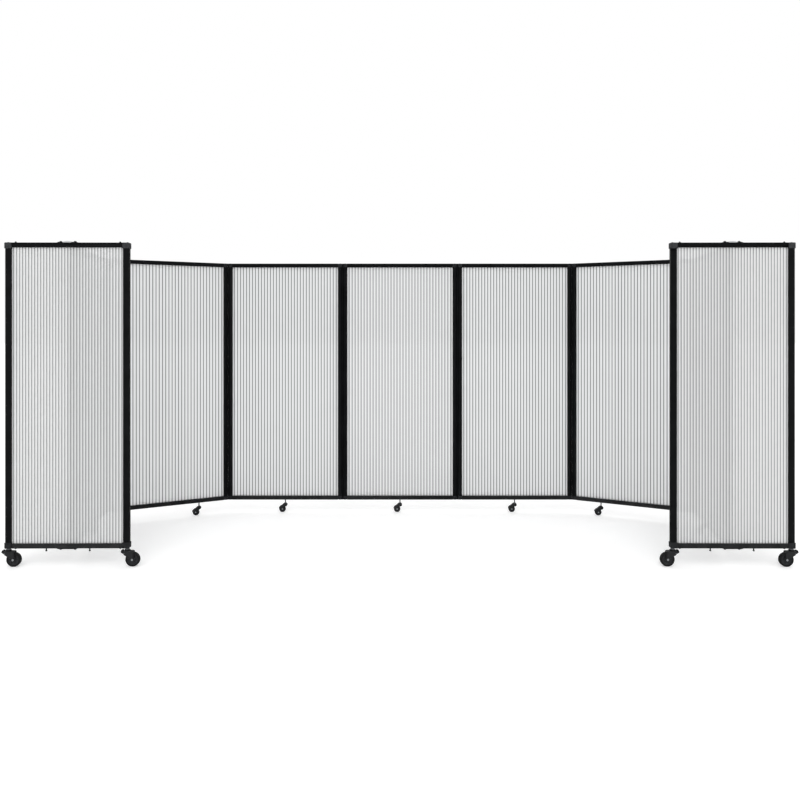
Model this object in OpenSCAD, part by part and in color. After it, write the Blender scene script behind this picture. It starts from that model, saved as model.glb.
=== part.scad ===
// Folding wheeled room divider: seven wall panels of translucent fluted sheet in slim
// black frames, joined by double-pivot hinge links, with a wheeled end frame at each end.
// Millimetres, +Z up, floor at Z = 0. The viewer stands on the -Y side.
// It is drawn as it stands in use: the middle three panels in line, the others turned in.

/* [Plan] */
// Distance between hinge centres along one wall panel
pitch = 838; // [700:2:960]
// Turn of panels 2 and 6 from the straight middle, in degrees
outer_bend = 27; // [0:1:60]
// Further turn of panels 1 and 7, in degrees
corner_bend = 72.4; // [0:0.2:80]
// Toe-in of the end frames, in degrees
toe = 0.5; // [0:0.5:5]

/* [Wall panels] */
// Height of a wall frame without its casters
wall_h = 1722; // [1400:2:2300]
// Radius of the round outer edge of a wall post, also half its depth
post_r = 15.5; // [15:0.25:17]
// Wall thickness of the extrusions
skin = 2.2; // [1.8:0.1:2.6]
// Height of the top and bottom rails
rail_h = 27; // [26:0.5:32]
// Depth of the groove that holds a sheet
groove_d = 9; // [7:0.5:10]
// Fluted channels across one wall sheet
wall_cells = 36; // [12:1:60]

/* [Hinge links] */
// Gap between the posts of two neighbouring panels
post_gap = 5; // [4:0.25:8]
// Width of the strip that closes this gap
strip_w = 22; // [18:0.5:26]
// Thickness of a hinge plate
plate_t = 3.7; // [3:0.1:5]
// Pivot pin radius
pin_r = 4; // [3:0.25:5]
// Pivot pin length below its head
pin_l = 20; // [16:0.5:22]

/* [End frames] */
// Width of an end frame over its posts
end_w = 696; // [560:2:900]
// Height by which the end frames stand above the wall panels
end_lift = 11; // [8:1:14]
// Width of an end post
end_post_w = 35; // [30:1:40]
// Depth of an end post and its rails
end_post_d = 26; // [24:1:28]
// Height of an end rail
end_rail_h = 27; // [26:0.5:32]
// Fluted channels across one end sheet
end_cells = 38; // [12:1:60]
// Distance between the two bolts of a hinge bracket
bolt_span = 81; // [70:1:100]
// Distance of the stop studs from the middle of an end frame
stud_x = 122; // [100:1:150]

/* [Sheets] */
// Thickness of a fluted sheet
sheet_t = 8; // [6:0.5:9]
// Thickness of a sheet's two skins
sheet_skin = 1; // [0.8:0.1:1.6]
// Thickness of the ribs between the skins
rib_t = 1; // [0.8:0.1:1.6]

/* [Small casters] */
// Wheel radius of a small caster
small_r = 23.5; // [22:0.5:25]
// Wheel width of a small caster
small_w = 15; // [12:0.5:18]
// Distance of a small wheel behind its stem
small_trail = 21; // [18:0.5:24]
// Stem radius of a small caster
small_stem_r = 4.2; // [3.5:0.1:5]
// Share of the pitch from the hinge to the caster on panels 1, 2, 6 and 7
caster_share = 0.25; // [0.2:0.01:0.3]

/* [Large casters] */
// Wheel radius of a large caster
large_r = 40; // [38:0.5:42]
// Wheel width of a large caster
large_w = 24; // [20:0.5:25]
// Distance of a large wheel behind its stem
large_trail = 31; // [28:0.5:33]
// Distance of a large caster's stem from the outer edge of its frame
stem_in = 14; // [10:0.5:16]
// Height of the ball race between a large fork and its frame
race_gap = 16; // [14:0.5:20]
// Pedal swing that presses the brake on, in degrees; the drawn pedal is up
pedal_lift = 14; // [8:1:18]

/* [Hidden] */
$fn = 64;
e = 0.5;
run = 0.06;

// colours
black = [0.09, 0.09, 0.1];
nylon = [0.2, 0.2, 0.21];
frosted = [0.86, 0.87, 0.88, 0.9];
tyre_black = [0.11, 0.11, 0.12];

// the fork crown clears the large wheel, and the ball race carries the end frame above it
crown_z = 2 * large_r + 8;
race_z = crown_z + 4;
end_gap = crown_z + race_gap;
wall_gap = end_gap - end_lift;
wall_top = wall_gap + wall_h;
end_top = end_gap + wall_h;
// distance between the two pivots of a hinge link
link_reach = 2 * post_r + post_gap;
// distance between the two post axes of one wall panel
span = pitch - link_reach;
recess = plate_t + 0.3;
// half the panel's inner width, between its posts
inner = span / 2 - post_r;
core_r = post_r - skin;
groove_w = sheet_t + 0.6;
tongue_slack = 0.2;
tongue_l = 30;
rail_tongue_l = 25;
// thickness of the strip that closes the gap between two posts
strip_t = post_gap - 0.7;
plate_r = post_r - 0.2;
head_r = 6;
head_h = 2;
socket_r = 8;
socket_h = rail_h - groove_d - skin;
// end frame: from its middle plane to the pivot on the wall
lip_t = 4;
end_reach = end_post_d / 2 + lip_t + 0.35 + post_r;
end_inner = end_w / 2 - end_post_w;
// a corner block stands out past the frame's edge and faces, and laps onto the rail
corner_out = 3;
corner_proud = 4;
corner_lap = 2;
corner_drop = 6;
end_corner_w = end_post_w + corner_out + corner_lap;
end_corner_d = end_post_d + 2 * corner_proud;
end_corner_h = end_rail_h + corner_drop;
stem_r = 5;
stem_deep = 27;
large_x = end_w / 2 - stem_in;
cheek_t = 3;
cheek_in = large_w / 2 + 1;
pedal_x = -15;
pedal_z = crown_z - 14;
// stem housing of a small fork, above its wheel
small_house_r = 12.5;
small_house_z = 2 * small_r + 8;
small_seat_z = small_house_z - 7;

// plan: side is -1 on the left and 1 on the right, headings turn towards the viewer
function way(side, heading) = [side * cos(heading), -sin(heading)];
function bend_1(side) = [side * (1.5 * pitch - link_reach / 2), 0];
function bend_2(side) = bend_1(side) + link_reach * way(side, outer_bend / 2);
function bend_3(side) = bend_2(side) + span * way(side, outer_bend);
function bend_4(side) = bend_3(side) + link_reach * way(side, outer_bend + corner_bend / 2);
function bend_5(side) = bend_4(side) + span * way(side, outer_bend + corner_bend);
function end_middle(side) = bend_5(side) + end_reach * way(side, 90 + toe);
function side_of(n) = n < 4 ? -1 : 1;
function turn_of(n) =
  (n == 1 || n == 7) ? outer_bend + corner_bend : (n == 2 || n == 6) ? outer_bend : 0;
function middle_of(n) =
  (n == 1 || n == 7) ? (bend_4(side_of(n)) + bend_5(side_of(n))) / 2 :
  (n == 2 || n == 6) ? (bend_2(side_of(n)) + bend_3(side_of(n))) / 2 : [(n - 4) * pitch, 0];
function caster_at(n) =
  (n > 2 && n < 6) ? 0 : -side_of(n) * (pitch / 2 - caster_share * pitch);

// the middle of the whole plan, taken from its furthest points front and back
front_y = end_middle(1)[1]
  - (end_w / 2 + corner_out) * sin(toe) - end_corner_d / 2 * cos(toe);
back_y = post_r;
mid_y = (front_y + back_y) / 2;

module at_wall(n) {
  translate([middle_of(n)[0], middle_of(n)[1] - mid_y, 0])
    rotate([0, 0, -side_of(n) * turn_of(n)])
      children();
}

module at_end(side) {
  translate([end_middle(side)[0], end_middle(side)[1] - mid_y, 0])
    rotate([0, 0, -side * toe])
      children();
}

// first pivot of link k, counted outwards from the middle panel, with +X along the link
module at_link(side, k) {
  start = k == 0 ? [side * (pitch - link_reach) / 2, 0] : k == 1 ? bend_1(side) : bend_3(side);
  heading = k == 0 ? 0 : k == 1 ? outer_bend / 2 : outer_bend + corner_bend / 2;
  translate([start[0], start[1] - mid_y, 0])
    rotate([0, 0, side > 0 ? -heading : 180 + heading])
      children();
}

// stem of the small caster on wall n, with +X along its trail, to the left
module at_small(n) {
  a = -side_of(n) * turn_of(n);
  translate([
    middle_of(n)[0] + caster_at(n) * cos(a),
    middle_of(n)[1] + caster_at(n) * sin(a) - mid_y,
    0
  ])
    rotate([0, 0, 180])
      children();
}

// stem of large caster n, counted from the left, with +X along its trail, to the middle
module at_large(n) {
  side = n < 3 ? -1 : 1;
  at_end(side)
    translate([(n == 1 || n == 3 ? -1 : 1) * large_x, 0, 0])
      rotate([0, 0, n < 3 ? 0 : 180])
        children();
}

module both_ends() {
  for (m = [0, 1])
    mirror([m, 0, 0])
      children();
}

// the same piece at the top of a frame and turned over at its bottom
module top_and_bottom(low, high) {
  translate([0, 0, high])
    children();
  translate([0, 0, low])
    mirror([0, 0, 1])
      children();
}

// outline of a wall post about its pivot axis, with the sheet on the +X side
module post_outline(r) {
  circle(r);
  translate([0, -r])
    square([r, 2 * r]);
}

// hollow of a wall post behind its sheet groove, drawn smaller by slack for a plug
module post_core(slack) {
  web_x = post_r - groove_d - skin;
  intersection() {
    union() {
      circle(core_r - slack);
      translate([0, -core_r + slack])
        square([post_r, 2 * (core_r - slack)]);
    }
    translate([-post_r, -post_r])
      square([post_r + web_x - slack, 2 * post_r]);
  }
}

module post_section() {
  pocket_w = post_r - groove_w / 2 - 2 * skin;
  difference() {
    post_outline(post_r);
    post_core(0);
    translate([post_r - groove_d, -groove_w / 2])
      square([groove_d + 1, groove_w]);
    for (m = [0, 1])
      mirror([0, m])
        translate([post_r - groove_d, groove_w / 2 + skin])
          square([groove_d - skin, pocket_w]);
  }
}

// rail seen from its end: X is its depth, Y its height, with the groove at Y = 0
module rail_section(depth, height) {
  pocket_w = depth / 2 - groove_w / 2 - 2 * skin;
  difference() {
    translate([-depth / 2, 0])
      square([depth, height]);
    translate([-groove_w / 2, -1])
      square([groove_w, groove_d + 1]);
    translate([-depth / 2 + skin, groove_d + skin])
      square([depth - 2 * skin, height - groove_d - 2 * skin]);
    for (m = [0, 1])
      mirror([m, 0])
        translate([groove_w / 2 + skin, skin])
          square([pocket_w, groove_d - skin]);
  }
}

module rail(length, depth, height) {
  rotate([90, 0, 90])
    translate([0, 0, -length / 2])
      linear_extrude(length)
        rail_section(depth, height);
}

module wall_posts() {
  both_ends()
    translate([-span / 2, 0, wall_gap + rail_h])
      linear_extrude(wall_h - 2 * rail_h)
        post_section();
}

module wall_frame(n) {
  color(black)
    at_wall(n) {
      wall_posts();
      translate([0, 0, wall_top - rail_h])
        rail(2 * inner, 2 * post_r, rail_h);
      difference() {
        translate([0, 0, wall_gap + rail_h])
          mirror([0, 0, 1])
            rail(2 * inner, 2 * post_r, rail_h);
        translate([caster_at(n), 0, wall_gap - 1])
          cylinder(r = socket_r + tongue_slack, h = socket_h + 1.2);
      }
    }
}

// connector that plugs into a post and a rail and carries the pivot pin
module wall_corner() {
  difference() {
    union() {
      linear_extrude(rail_h - recess)
        post_outline(post_r);
      translate([0, 0, -tongue_l])
        linear_extrude(tongue_l + 1)
          post_core(tongue_slack);
      translate([post_r - 1, -core_r + tongue_slack, groove_d + skin + tongue_slack])
        cube([
          rail_tongue_l + 1,
          2 * (core_r - tongue_slack),
          rail_h - recess - groove_d - skin - 2 * tongue_slack
        ]);
    }
    translate([0, 0, rail_h - recess - pin_l])
      cylinder(r = pin_r + run, h = pin_l + 1);
  }
}

// bush in the bottom rail that takes a small caster's stem
module stem_socket() {
  difference() {
    cylinder(r = socket_r, h = socket_h);
    translate([0, 0, -1])
      cylinder(r = small_stem_r + run, h = socket_h - 1);
  }
}

module wall_corners(n) {
  color(nylon)
    at_wall(n) {
      both_ends()
        translate([-span / 2, 0, 0])
          top_and_bottom(wall_gap + rail_h, wall_top - rail_h)
            wall_corner();
      translate([caster_at(n), 0, wall_gap])
        stem_socket();
    }
}

// twin-skin sheet with upright channels, notched at its corners for the connectors
module fluted_sheet(width, low, high, cells) {
  cell = (width - rib_t) / cells;
  notch = groove_d - e;
  difference() {
    translate([0, 0, low])
      linear_extrude(high - low)
        difference() {
          translate([-width / 2, -sheet_t / 2])
            square([width, sheet_t]);
          for (i = [0:cells - 1])
            translate([-width / 2 + rib_t + i * cell, -sheet_t / 2 + sheet_skin])
              square([cell - rib_t, sheet_t - 2 * sheet_skin]);
        }
    for (x = [-1, 1], z = [low, high])
      translate([x * width / 2, 0, z])
        cube([2 * notch + 2 * e, sheet_t + 2, 2 * notch + 2 * e], center = true);
  }
}

module wall_sheet(n) {
  color(frosted)
    at_wall(n)
      fluted_sheet(
        2 * (inner + groove_d - e),
        wall_gap + rail_h - groove_d + e,
        wall_top - rail_h + groove_d - e,
        wall_cells
      );
}

// plate over the two pivots, lying in the recesses of both connectors
module link_plate() {
  linear_extrude(plate_t)
    difference() {
      union() {
        circle(plate_r);
        translate([link_reach, 0])
          circle(plate_r);
        translate([0, -strip_w / 2])
          square([link_reach, strip_w]);
      }
      for (x = [0, link_reach])
        translate([x, 0])
          circle(pin_r + run);
    }
}

// headed pin, with its head just clear of the plate's outer face
module pivot_pin() {
  translate([0, 0, -pin_l - recess + plate_t + 1])
    cylinder(r = pin_r, h = pin_l + recess);
  translate([0, 0, plate_t + run])
    cylinder(r1 = head_r, r2 = head_r - 1.2, h = head_h);
}

module link(side, k) {
  color(black)
    at_link(side, k) {
      top_and_bottom(wall_gap + plate_t, wall_top - plate_t) {
        link_plate();
        pivot_pin();
        translate([link_reach, 0, 0])
          pivot_pin();
      }
      translate([(link_reach - strip_t) / 2, -strip_w / 2, wall_gap + plate_t])
        cube([strip_t, strip_w, wall_h - 2 * plate_t]);
    }
}

module rounded_bar(width, depth, r) {
  for (x = [-1, 1], y = [-1, 1])
    translate([x * (width / 2 - r), y * (depth / 2 - r)])
      circle(r);
  square([width, depth - 2 * r], center = true);
  square([width - 2 * r, depth], center = true);
}

// section of an end post, with the sheet on the +X side
module end_post_section() {
  hollow_w = end_post_w - groove_d - 2 * skin;
  pocket_w = end_post_d / 2 - groove_w / 2 - 2 * skin;
  difference() {
    rounded_bar(end_post_w, end_post_d, 3);
    translate([-end_post_w / 2 + skin, -end_post_d / 2 + skin])
      square([hollow_w, end_post_d - 2 * skin]);
    translate([end_post_w / 2 - groove_d, -groove_w / 2])
      square([groove_d + 1, groove_w]);
    for (m = [0, 1])
      mirror([0, m])
        translate([end_post_w / 2 - groove_d, groove_w / 2 + skin])
          square([groove_d - skin, pocket_w]);
  }
}

module end_frame(side) {
  post_l = wall_h - 2 * end_corner_h;
  rail_l = end_w + 2 * corner_out - 2 * end_corner_w;
  color(black)
    at_end(side) {
      both_ends()
        translate([-end_w / 2 + end_post_w / 2, 0, end_gap + end_corner_h])
          linear_extrude(post_l)
            end_post_section();
      translate([0, 0, end_top - end_rail_h])
        rail(rail_l, end_post_d, end_rail_h);
      translate([0, 0, end_gap + end_rail_h])
        mirror([0, 0, 1])
          rail(rail_l, end_post_d, end_rail_h);
    }
}

// moulded corner block with chamfered outer edges, drawn for the left top corner
module end_corner(bored) {
  c = 4;
  x0 = -end_w / 2 - corner_out;
  hollow_w = end_post_w - groove_d - 2 * skin;
  hollow_x = -end_w / 2 + skin;
  outline = [
    [0, 0], [end_corner_w, 0], [end_corner_w, end_corner_h],
    [c, end_corner_h], [0, end_corner_h - c]
  ];
  difference() {
    union() {
      intersection() {
        translate([x0, end_corner_d / 2, 0])
          rotate([90, 0, 0])
            linear_extrude(end_corner_d)
              polygon(outline);
        translate([x0 + end_corner_w / 2, 0, -1])
          linear_extrude(end_corner_h + 2)
            end_corner_plan(c / 2);
      }
      translate([
        hollow_x + tongue_slack,
        -end_post_d / 2 + skin + tongue_slack,
        -tongue_l
      ])
        cube([
          hollow_w - 2 * tongue_slack,
          end_post_d - 2 * skin - 2 * tongue_slack,
          tongue_l + 1
        ]);
      translate([
        x0 + end_corner_w - 1,
        -end_post_d / 2 + skin + tongue_slack,
        corner_drop + groove_d + skin + tongue_slack
      ])
        cube([
          rail_tongue_l + 1,
          end_post_d - 2 * skin - 2 * tongue_slack,
          end_rail_h - groove_d - 2 * skin - 2 * tongue_slack
        ]);
    }
    // grooves for the sheet's notched corner and for its top edge
    translate([-end_inner - groove_d - e, -groove_w / 2, -1])
      cube([groove_d + 20, groove_w, corner_drop + 1]);
    translate([-end_inner - 2 * e, -groove_w / 2, -1])
      cube([20, groove_w, corner_drop + groove_d + 1]);
    if (bored)
      translate([-large_x, 0, end_corner_h - stem_deep - 1])
        cylinder(r = stem_r + run, h = stem_deep + 3);
  }
}

module end_corner_plan(c) {
  w = end_corner_w / 2;
  d = end_corner_d / 2;
  polygon([
    [-w + c, -d], [w, -d], [w, d], [-w + c, d], [-w, d - c], [-w, -d + c]
  ]);
}

// low pan-head screw, seated at Z = 0
module pan_screw(r, h) {
  difference() {
    union() {
      cylinder(r = r, h = h / 2);
      translate([0, 0, h / 2])
        cylinder(r1 = r, r2 = r * 0.6, h = h / 2);
    }
    translate([0, 0, h - 0.8])
      cube([r * 0.9, r * 0.28, 3], center = true);
    translate([0, 0, h - 0.8])
      cube([r * 0.28, r * 0.9, 3], center = true);
  }
}

// hexagon bolt head with a washer under it
module hex_bolt() {
  cylinder(r = 8, h = 1);
  translate([0, 0, 1])
    intersection() {
      cylinder(r = 7, h = 4, $fn = 6);
      cylinder(r1 = 7.6, r2 = 5.6, h = 4);
    }
}

// strap bolted on a rail, seated at Z = 0, with a lip that steps down behind the frame
// to a flange in the recess of the wall's connector; up is true on the top rail
module hinge_strap(up) {
  t = 4;
  long = bolt_span + 36;
  ramp = 8;
  lip_y = end_post_d / 2;
  lip_w = 60;
  flange_z = (up ? -plate_t : 0) - end_lift;
  mirror([0, 0, up ? 0 : 1])
    rotate([90, 0, 0])
      translate([0, 0, -lip_y])
        linear_extrude(end_post_d)
          polygon([[-long / 2, 0], [long / 2, 0], [long / 2 - ramp, t], [-long / 2 + ramp, t]]);
  translate([-lip_w / 2, lip_y, flange_z])
    cube([lip_w, lip_t, (up ? t : t + 2) - flange_z]);
  translate([0, 0, flange_z])
    linear_extrude(plate_t)
      difference() {
        union() {
          translate([0, end_reach])
            circle(plate_r);
          translate([-strip_w / 2, lip_y])
            square([strip_w, end_reach - lip_y]);
        }
        translate([0, end_reach])
          circle(pin_r + run);
      }
  mirror([0, 0, up ? 0 : 1])
    for (x = [-1, 1])
      translate([x * bolt_span / 2, 0, t + run])
        hex_bolt();
}

// bowed cover strip between the two bolts of a bracket
module bracket_cover() {
  chord = 58;
  rise = 5;
  r = (chord * chord / 4 + rise * rise) / (2 * rise);
  rotate([90, 0, 0])
    translate([0, 0, -10])
      linear_extrude(20)
        intersection() {
          difference() {
            translate([0, rise - r])
              circle(r);
            translate([0, rise - r])
              circle(r - 1.2);
          }
          translate([-chord / 2, 0])
            square([chord, rise + 1]);
        }
}

// short threaded stud with a foot, hanging from Z = 0
module stop_stud() {
  translate([0, 0, -15])
    cylinder(r = 3, h = 15);
  translate([0, 0, -18])
    cylinder(r = 5, h = 3);
  translate([0, 0, -2.5])
    difference() {
      cylinder(r = 5.5, h = 2.5, $fn = 6);
      translate([0, 0, -1])
        cylinder(r = 3.05, h = 5);
    }
}

module end_fittings(side) {
  color(nylon)
    at_end(side) {
      both_ends() {
        translate([0, 0, end_top - end_corner_h])
          end_corner(false);
        translate([0, 0, end_gap + end_corner_h])
          mirror([0, 0, 1])
            end_corner(true);
        translate([-end_w / 2 + 13, 0, end_top + run])
          pan_screw(5, 3);
        // rail screws, into the tongues of the corner blocks
        top_and_bottom(end_gap, end_top)
          translate([-end_w / 2 - corner_out + end_corner_w + rail_tongue_l - 8, 0, 0])
            pan_screw(4.5, 4);
        translate([stud_x, 0, end_gap])
          stop_stud();
      }
      translate([0, 0, end_top]) {
        hinge_strap(true);
        translate([0, 0, 4 + run])
          bracket_cover();
        translate([0, end_reach, -end_lift - plate_t])
          pivot_pin();
      }
      translate([0, 0, end_gap]) {
        hinge_strap(false);
        translate([0, end_reach, plate_t - end_lift])
          mirror([0, 0, 1])
            pivot_pin();
      }
    }
}

module end_sheet(side) {
  color(frosted)
    at_end(side)
      fluted_sheet(
        2 * (end_inner + groove_d - e),
        end_gap + end_rail_h - groove_d + e,
        end_top - end_rail_h + groove_d - e,
        end_cells
      );
}

// half section of a rounded tyre or hub, for turning about the wheel's axle
module ring_section(r_in, r_out, width, round) {
  w = width / 2;
  translate([r_in, -w])
    square([r_out - round - r_in, width]);
  translate([r_in, -w + round])
    square([r_out - r_in, width - 2 * round]);
  for (y = [-1, 1])
    translate([r_out - round, y * (w - round)])
      circle(round);
}

// wheel at its own centre, turning about Y, with a dished hub
module wheel(r, width, tyre_t, bore_r, holes) {
  hub_r = r - tyre_t;
  rotate([90, 0, 0]) {
    rotate_extrude()
      ring_section(hub_r, r, width, tyre_t * 0.45);
    difference() {
      rotate_extrude()
        difference() {
          translate([bore_r + run, -width / 2 + 0.5])
            square([hub_r - bore_r - 2 * run, width - 1]);
          for (y = [-1, 1])
            translate([(hub_r + bore_r + 4) / 2, y * width / 2])
              square([hub_r - bore_r - 7, width * 0.5], center = true);
        }
      for (i = [1:holes])
        rotate([0, 0, i * 360 / holes])
          translate([(hub_r + bore_r + 3) / 2, 0, -width])
            cylinder(r = hub_r * 0.12, h = 2 * width);
    }
  }
}

// side outline of the small fork: stem housing, neck, wheel guard and axle eye
module small_fork_outline() {
  guard_r = small_r + 4;
  housing = [-2, small_house_z];
  translate(housing)
    circle(small_house_r);
  intersection() {
    translate([small_trail, small_r])
      circle(guard_r);
    polygon([
      [small_trail, small_r], [small_trail + 30, small_r + 6],
      [small_trail + 30, small_house_z + 15], [small_trail - 25, small_house_z + 15],
      [2, small_house_z - 16]
    ]);
  }
  polygon([
    housing + [-3, 11.2], housing + [12, 11.3],
    [small_trail + 0.6 * guard_r, small_r + 0.67 * guard_r],
    [small_trail + 5, small_r + 1], [small_trail - 5, small_r + 1],
    [2, small_house_z - 16], housing
  ]);
  translate([small_trail, small_r])
    circle(7);
}

module small_fork(n) {
  cheek = small_w / 2 + 1;
  full = 2 * cheek + 6;
  color(black)
    at_small(n) {
      difference() {
        rotate([90, 0, 0])
          translate([0, 0, -full / 2])
            linear_extrude(full)
              small_fork_outline();
        translate([small_trail, 0, small_r])
          rotate([90, 0, 0])
            cylinder(r = small_r + 1.5, h = 2 * cheek, center = true);
        translate([small_trail, 0, small_r])
          rotate([90, 0, 0])
            cylinder(r = 3 + run, h = full + 2, center = true);
        translate([0, 0, small_seat_z])
          cylinder(r = small_stem_r + run, h = 30);
      }
      // stem and its collar
      translate([0, 0, small_seat_z + 0.2])
        cylinder(r = small_stem_r, h = wall_gap + socket_h - 3.2 - small_seat_z);
      translate([0, 0, small_house_z + small_house_r + 0.1])
        difference() {
          cylinder(r = 6, h = 2);
          translate([0, 0, -1])
            cylinder(r = small_stem_r + run, h = 4);
        }
      // axle
      translate([small_trail, 0, small_r])
        rotate([90, 0, 0])
          cylinder(r = 3, h = full + 1.6, center = true);
    }
}

module small_wheel(n) {
  color(tyre_black)
    at_small(n)
      translate([small_trail, 0, small_r])
        wheel(small_r, small_w, 6, 3, 0);
}

// side outline of the large fork
module large_fork_outline() {
  polygon([
    [-22, crown_z], [-25, crown_z - 7], [-14, crown_z - 22],
    [large_trail - 11, large_r + 6],
    [large_trail, large_r], [large_trail + 11, large_r + 4],
    [large_trail + 7, crown_z - 14], [large_trail + 5, crown_z - 3],
    [large_trail, crown_z]
  ]);
  translate([large_trail, large_r])
    circle(11);
}

module large_fork(n) {
  full = 2 * (cheek_in + cheek_t);
  color(black)
    at_large(n) {
      difference() {
        rotate([90, 0, 0])
          translate([0, 0, -full / 2])
            linear_extrude(full)
              large_fork_outline();
        // room for the wheel and, in front of it, for the brake
        translate([large_trail, 0, large_r])
          rotate([90, 0, 0])
            cylinder(r = large_r + 3.5, h = 2 * cheek_in, center = true);
        translate([-40, -cheek_in, 20])
          cube([50, 2 * cheek_in, crown_z - 20 - 4]);
        translate([large_trail, 0, large_r])
          rotate([90, 0, 0])
            cylinder(r = 4 + run, h = full + 2, center = true);
        translate([pedal_x, 0, pedal_z])
          rotate([90, 0, 0])
            cylinder(r = 2.5 + run, h = full + 2, center = true);
        translate([0, 0, crown_z - 20])
          cylinder(r = stem_r + run, h = 30);
      }
      // ball race between the crown and the frame
      difference() {
        union() {
          translate([0, 0, crown_z + run])
            cylinder(r1 = 16.5, r2 = 17.5, h = race_z - crown_z - run);
          translate([0, 0, race_z])
            cylinder(r1 = 17.5, r2 = 14, h = 4);
          translate([0, 0, race_z + 4])
            cylinder(r = 11, h = end_gap - race_z - 4.4);
        }
        translate([0, 0, crown_z - 1])
          cylinder(r = stem_r + run, h = 30);
      }
      translate([0, 0, crown_z - 3.8])
        cylinder(r = stem_r, h = end_gap + stem_deep - crown_z + 3.8);
      // axle with its head and nut
      translate([large_trail, 0, large_r])
        rotate([90, 0, 0]) {
          cylinder(r = 4, h = full + 3, center = true);
          for (m = [0, 1])
            mirror([0, 0, m])
              translate([0, 0, full / 2 + run])
                difference() {
                  cylinder(r = 6.5, h = 1.4);
                  translate([0, 0, -1])
                    cylinder(r = 4 + run, h = 4);
                }
        }
      translate([pedal_x, 0, pedal_z])
        rotate([90, 0, 0])
          cylinder(r = 2.5, h = full + 0.6, center = true);
    }
}

module large_wheel(n) {
  color(tyre_black)
    at_large(n)
      translate([large_trail, 0, large_r])
        wheel(large_r, large_w, 9, 4, 6);
}

// pedal lever: tread plate in front of the fork and a shoe that swings to the tyre
module brake(n) {
  w = 2 * cheek_in - 1;
  reach = [large_trail - pedal_x, large_r - pedal_z];
  shoe_l = norm(reach) - large_r - 0.6;
  shoe_a = atan2(reach[1], reach[0]) - pedal_lift;
  color(nylon)
    at_large(n)
      translate([pedal_x, 0, pedal_z])
        difference() {
          rotate([90, 0, 0])
            translate([0, 0, -w / 2])
              linear_extrude(w) {
                circle(5);
                polygon([[-4, -3], [0, 5], [-14, 9.5], [-19, 9.5], [-19, 6]]);
                rotate(shoe_a)
                  polygon([[0, -5], [shoe_l, -2], [shoe_l, 2], [0, 5]]);
              }
          rotate([90, 0, 0])
            cylinder(r = 2.5 + run, h = w + 2, center = true);
        }
}

wall_frame(1);  // wall_1_frame
wall_corners(1);  // wall_1_corners
wall_sheet(1);  // wall_1_sheet
wall_frame(2);  // wall_2_frame
wall_corners(2);  // wall_2_corners
wall_sheet(2);  // wall_2_sheet
wall_frame(3);  // wall_3_frame
wall_corners(3);  // wall_3_corners
wall_sheet(3);  // wall_3_sheet
wall_frame(4);  // wall_4_frame
wall_corners(4);  // wall_4_corners
wall_sheet(4);  // wall_4_sheet
wall_frame(5);  // wall_5_frame
wall_corners(5);  // wall_5_corners
wall_sheet(5);  // wall_5_sheet
wall_frame(6);  // wall_6_frame
wall_corners(6);  // wall_6_corners
wall_sheet(6);  // wall_6_sheet
wall_frame(7);  // wall_7_frame
wall_corners(7);  // wall_7_corners
wall_sheet(7);  // wall_7_sheet
link(-1, 2);  // link_12
link(-1, 1);  // link_23
link(-1, 0);  // link_34
link(1, 0);  // link_45
link(1, 1);  // link_56
link(1, 2);  // link_67
end_frame(-1);  // end_left_frame
end_fittings(-1);  // end_left_fittings
end_sheet(-1);  // end_left_sheet
end_frame(1);  // end_right_frame
end_fittings(1);  // end_right_fittings
end_sheet(1);  // end_right_sheet
small_fork(1);  // small_fork_1
small_fork(2);  // small_fork_2
small_fork(3);  // small_fork_3
small_fork(4);  // small_fork_4
small_fork(5);  // small_fork_5
small_fork(6);  // small_fork_6
small_fork(7);  // small_fork_7
small_wheel(1);  // small_wheel_1
small_wheel(2);  // small_wheel_2
small_wheel(3);  // small_wheel_3
small_wheel(4);  // small_wheel_4
small_wheel(5);  // small_wheel_5
small_wheel(6);  // small_wheel_6
small_wheel(7);  // small_wheel_7
large_fork(1);  // large_fork_1
large_fork(2);  // large_fork_2
large_fork(3);  // large_fork_3
large_fork(4);  // large_fork_4
large_wheel(1);  // large_wheel_1
large_wheel(2);  // large_wheel_2
large_wheel(3);  // large_wheel_3
large_wheel(4);  // large_wheel_4
brake(1);  // brake_1
brake(2);  // brake_2
brake(3);  // brake_3
brake(4);  // brake_4
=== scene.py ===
# Folding wheeled room divider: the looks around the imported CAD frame.
# Metres, floor at Z = 0. The row stands along X and the viewer is on its -Y side.
# The piece dictionaries are in millimetres, as the part's source is. Those of the floor
# and the camera are in metres, and turns are in degrees.

import math

import bmesh
import bpy
from mathutils import Matrix, Vector


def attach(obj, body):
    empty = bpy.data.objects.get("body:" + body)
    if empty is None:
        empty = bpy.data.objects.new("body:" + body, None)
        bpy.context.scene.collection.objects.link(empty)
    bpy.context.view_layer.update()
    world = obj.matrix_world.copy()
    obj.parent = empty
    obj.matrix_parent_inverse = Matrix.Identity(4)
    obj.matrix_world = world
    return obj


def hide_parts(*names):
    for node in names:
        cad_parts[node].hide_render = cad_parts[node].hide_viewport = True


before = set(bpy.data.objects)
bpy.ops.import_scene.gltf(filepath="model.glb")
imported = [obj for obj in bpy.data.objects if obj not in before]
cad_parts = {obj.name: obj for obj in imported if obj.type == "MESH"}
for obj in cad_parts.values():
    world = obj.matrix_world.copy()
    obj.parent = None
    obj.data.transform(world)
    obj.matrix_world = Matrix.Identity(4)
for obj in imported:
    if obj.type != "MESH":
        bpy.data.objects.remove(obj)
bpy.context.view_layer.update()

mm = 0.001
sides = {"left": -1, "right": 1}

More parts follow.
